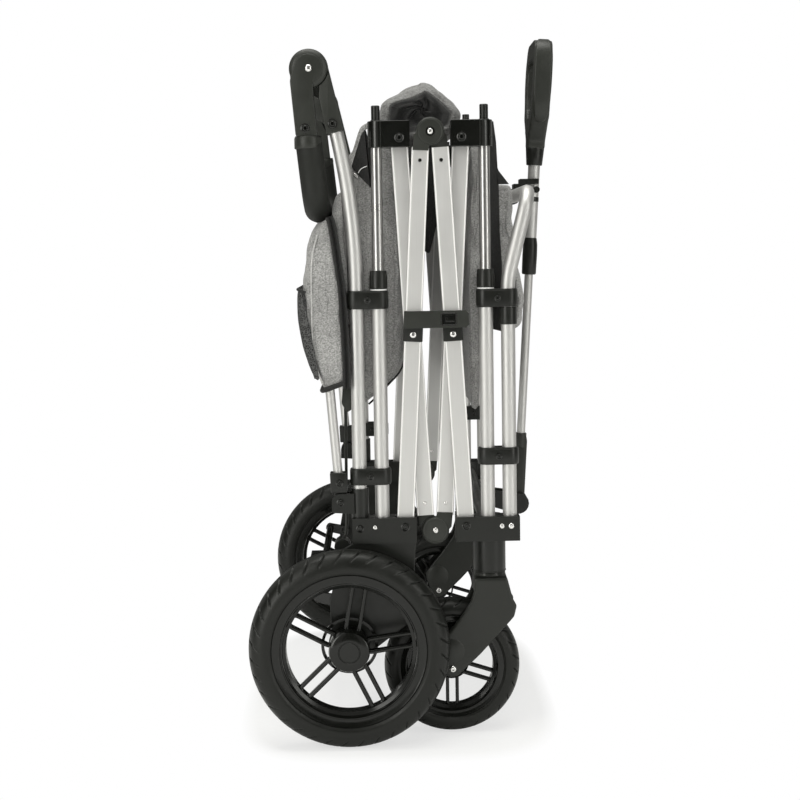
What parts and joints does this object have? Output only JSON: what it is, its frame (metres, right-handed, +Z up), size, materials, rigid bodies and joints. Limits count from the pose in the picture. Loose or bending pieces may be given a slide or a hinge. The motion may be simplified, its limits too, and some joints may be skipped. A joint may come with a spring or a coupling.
{
  "type": "folding stroller wagon",
  "caption": "Folding stroller wagon, folded upright: crossed scissor bars between rear and front frames, hanging push bar, pull handle, spoked wheels and casters.",
  "frame": {"origin": "on the ground under the middle of the folded wagon", "axes": "+X forward towards the casters and pull handle, +Y to its left side, +Z up"},
  "size_m": [0.4641, 0.674, 1.0131],
  "materials": {
    "aluminium": "satin anodised",
    "black_plastic": "fine satin moulding",
    "gloss_black": "glossy moulding",
    "tyre": "matt rubber",
    "cable": "smooth sheath",
    "foam": "soft foam",
    "cloth": "woven heather cloth"
  },
  "bodies": {
    "rear_frame": {"rear_axle": "black_plastic", "brake_cable": "cable", "tub_cloth": "cloth", "canopy_cloth": "cloth", "rear_post_right": "aluminium", "rear_foot_right": "black_plastic", "rear_upper_clamp_right": "black_plastic", "rear_lower_clamp_right": "black_plastic", "push_tube_right": "aluminium", "rear_post_left": "aluminium", "rear_foot_left": "black_plastic", "rear_upper_clamp_left": "black_plastic", "rear_lower_clamp_left": "black_plastic", "push_tube_left": "aluminium"},
    "rear_foot_bar_right": {"rear_foot_bar_right": "aluminium"},
    "rear_top_bar_right": {"rear_top_bar_right": "aluminium"},
    "front_foot_bar_right": {"front_foot_bar_right": "aluminium"},
    "front_top_bar_right": {"front_top_bar_right": "aluminium"},
    "rear_slider_right": {"rear_slider_right": "gloss_black"},
    "front_slider_right": {"front_slider_right": "gloss_black"},
    "rear_foot_bar_left": {"rear_foot_bar_left": "aluminium"},
    "rear_top_bar_left": {"rear_top_bar_left": "aluminium"},
    "front_foot_bar_left": {"front_foot_bar_left": "aluminium"},
    "front_top_bar_left": {"front_top_bar_left": "aluminium"},
    "rear_slider_left": {"rear_slider_left": "gloss_black"},
    "front_slider_left": {"front_slider_left": "gloss_black"},
    "front_frame": {"front_hoop": "aluminium", "front_cross_tube": "black_plastic", "front_roll": "cloth", "front_panel": "cloth", "front_post_right": "aluminium", "front_foot_right": "black_plastic", "front_upper_clamp_right": "black_plastic", "front_lower_clamp_right": "black_plastic", "front_post_left": "aluminium", "front_foot_left": "black_plastic", "front_upper_clamp_left": "black_plastic", "front_lower_clamp_left": "black_plastic"},
    "rear_wheel_right": {"rear_tyre_right": "tyre", "rear_rim_right": "gloss_black"},
    "rear_wheel_left": {"rear_tyre_left": "tyre", "rear_rim_left": "gloss_black"},
    "caster_right": {"caster_fork_right": "black_plastic"},
    "caster_wheel_right": {"caster_tyre_right": "tyre", "caster_rim_right": "gloss_black"},
    "caster_left": {"caster_fork_left": "black_plastic"},
    "caster_wheel_left": {"caster_tyre_left": "tyre", "caster_rim_left": "gloss_black"},
    "push_handle": {"push_hinge_arm_right": "black_plastic", "push_hinge_arm_left": "black_plastic", "push_grip": "foam"},
    "rear_basket": {"basket_frame": "aluminium", "basket_bag": "cloth"},
    "brake_pedal": {"brake_pedal": "gloss_black"},
    "latch_arm": {"latch_arm": "black_plastic"},
    "pull_handle": {"pull_lower_tube": "aluminium"},
    "pull_slider": {"pull_upper_tube": "aluminium", "pull_grip": "black_plastic"},
    "release_button_right": {"release_button_right": "black_plastic"},
    "release_button_left": {"release_button_left": "black_plastic"}
  },
  "joints": [
    {"name": "fold", "type": "hinge", "parent": "rear_frame", "child": "rear_foot_bar_right", "pos_m": [-0.008, -0.272, 0.308], "axis": [0, 1, 0], "range_deg": [0, 42]},
    {"name": "rear_cross_right", "type": "hinge", "parent": "rear_foot_bar_right", "child": "rear_top_bar_right", "pos_m": [0.00699, -0.272, 0.57959], "axis": [0, 1, 0], "range_deg": [-85, 1]},
    {"name": "rear_slider_pivot_right", "type": "hinge", "parent": "rear_top_bar_right", "child": "rear_slider_right", "pos_m": [-0.008, -0.272, 0.85117], "axis": [0, 1, 0], "range_deg": [-1, 43]},
    {"name": "top_knee_right", "type": "hinge", "parent": "rear_foot_bar_right", "child": "front_foot_bar_right", "pos_m": [0.03497, -0.272, 0.85947], "axis": [0, 1, 0], "range_deg": [-85, 1]},
    {"name": "front_cross_right", "type": "hinge", "parent": "front_foot_bar_right", "child": "front_top_bar_right", "pos_m": [0.06294, -0.272, 0.57959], "axis": [0, 1, 0], "range_deg": [-1, 85]},
    {"name": "front_slider_pivot_right", "type": "hinge", "parent": "front_top_bar_right", "child": "front_slider_right", "pos_m": [0.07793, -0.272, 0.85117], "axis": [0, 1, 0], "range_deg": [-43, 1]},
    {"name": "fold_left", "type": "hinge", "parent": "rear_frame", "child": "rear_foot_bar_left", "pos_m": [-0.008, 0.272, 0.308], "axis": [0, 1, 0], "range_deg": [0, 42]},
    {"name": "rear_cross_left", "type": "hinge", "parent": "rear_foot_bar_left", "child": "rear_top_bar_left", "pos_m": [0.00699, 0.272, 0.57959], "axis": [0, 1, 0], "range_deg": [-85, 1]},
    {"name": "rear_slider_pivot_left", "type": "hinge", "parent": "rear_top_bar_left", "child": "rear_slider_left", "pos_m": [-0.008, 0.272, 0.85117], "axis": [0, 1, 0], "range_deg": [-1, 43]},
    {"name": "top_knee_left", "type": "hinge", "parent": "rear_foot_bar_left", "child": "front_foot_bar_left", "pos_m": [0.03497, 0.272, 0.85947], "axis": [0, 1, 0], "range_deg": [-85, 1]},
    {"name": "front_cross_left", "type": "hinge", "parent": "front_foot_bar_left", "child": "front_top_bar_left", "pos_m": [0.06294, 0.272, 0.57959], "axis": [0, 1, 0], "range_deg": [-1, 85]},
    {"name": "front_slider_pivot_left", "type": "hinge", "parent": "front_top_bar_left", "child": "front_slider_left", "pos_m": [0.07793, 0.272, 0.85117], "axis": [0, 1, 0], "range_deg": [-43, 1]},
    {"name": "front_frame_pivot", "type": "hinge", "parent": "front_foot_bar_right", "child": "front_frame", "pos_m": [0.07793, -0.272, 0.308], "axis": [0, 1, 0], "range_deg": [-1, 43]},
    {"name": "rear_wheel_right", "type": "hinge", "parent": "rear_frame", "child": "rear_wheel_right", "pos_m": [-0.09, -0.312, 0.1415], "axis": [0, 1, 0], "continuous": true},
    {"name": "rear_wheel_left", "type": "hinge", "parent": "rear_frame", "child": "rear_wheel_left", "pos_m": [-0.09, 0.312, 0.1415], "axis": [0, 1, 0], "continuous": true},
    {"name": "caster_swivel_right", "type": "hinge", "parent": "front_frame", "child": "caster_right", "pos_m": [0.11293, -0.2455, 0.236], "axis": [0, 0, 1], "range_deg": [-296, 6]},
    {"name": "caster_wheel_right", "type": "hinge", "parent": "caster_right", "child": "caster_wheel_right", "pos_m": [0.05693, -0.2455, 0.098], "axis": [0, 1, 0], "continuous": true},
    {"name": "caster_swivel_left", "type": "hinge", "parent": "front_frame", "child": "caster_left", "pos_m": [0.11293, 0.2455, 0.236], "axis": [0, 0, 1], "range_deg": [-6, 296]},
    {"name": "caster_wheel_left", "type": "hinge", "parent": "caster_left", "child": "caster_wheel_left", "pos_m": [0.05693, 0.2455, 0.098], "axis": [0, 1, 0], "continuous": true},
    {"name": "push_handle_fold", "type": "hinge", "parent": "rear_frame", "child": "push_handle", "pos_m": [-0.1306, 0, 0.947], "axis": [0, 1, 0], "range_deg": [0, 150]},
    {"name": "basket_fold", "type": "hinge", "parent": "rear_frame", "child": "rear_basket", "pos_m": [-0.0989, 0, 0.344], "axis": [0, 1, 0], "range_deg": [-90, 0]},
    {"name": "brake_pedal", "type": "hinge", "parent": "rear_frame", "child": "brake_pedal", "pos_m": [-0.108, 0, 0.199], "axis": [0, 1, 0], "range_deg": [-20, 0]},
    {"name": "latch_swing", "type": "hinge", "parent": "rear_foot_bar_right", "child": "latch_arm", "pos_m": [-0.00436, -0.289, 0.60074], "axis": [0.0551, 0, 0.9985], "range_deg": [-70, 0]},
    {"name": "pull_handle_fold", "type": "hinge", "parent": "front_frame", "child": "pull_handle", "pos_m": [0.177, 0, 0.291], "axis": [0, 1, 0], "range_deg": [0, 95]},
    {"name": "pull_handle_length", "type": "slide", "parent": "pull_handle", "child": "pull_slider", "axis": [0.0576, 0, 0.9983], "range_m": [-0.02, 0.1]},
    {"name": "release_button_right", "type": "slide", "parent": "front_slider_right", "child": "release_button_right", "axis": [0, 0, -1], "range_m": [0, 0.003], "stiffness_N_per_m": 200, "springref_m": -0.002},
    {"name": "release_button_left", "type": "slide", "parent": "front_slider_left", "child": "release_button_left", "axis": [0, 0, -1], "range_m": [0, 0.003], "stiffness_N_per_m": 200, "springref_m": -0.002}
  ],
  "couplings": [
    {"joint": "rear_cross_right", "follows": "fold", "ratio": -2},
    {"joint": "rear_slider_pivot_right", "follows": "fold", "ratio": 1},
    {"joint": "top_knee_right", "follows": "fold", "ratio": -2},
    {"joint": "front_cross_right", "follows": "fold", "ratio": 2},
    {"joint": "front_slider_pivot_right", "follows": "fold", "ratio": -1},
    {"joint": "fold_left", "follows": "fold", "ratio": 1},
    {"joint": "rear_cross_left", "follows": "fold", "ratio": -2},
    {"joint": "rear_slider_pivot_left", "follows": "fold", "ratio": 1},
    {"joint": "top_knee_left", "follows": "fold", "ratio": -2},
    {"joint": "front_cross_left", "follows": "fold", "ratio": 2},
    {"joint": "front_slider_pivot_left", "follows": "fold", "ratio": -1},
    {"joint": "front_frame_pivot", "follows": "fold", "ratio": 1}
  ]
}
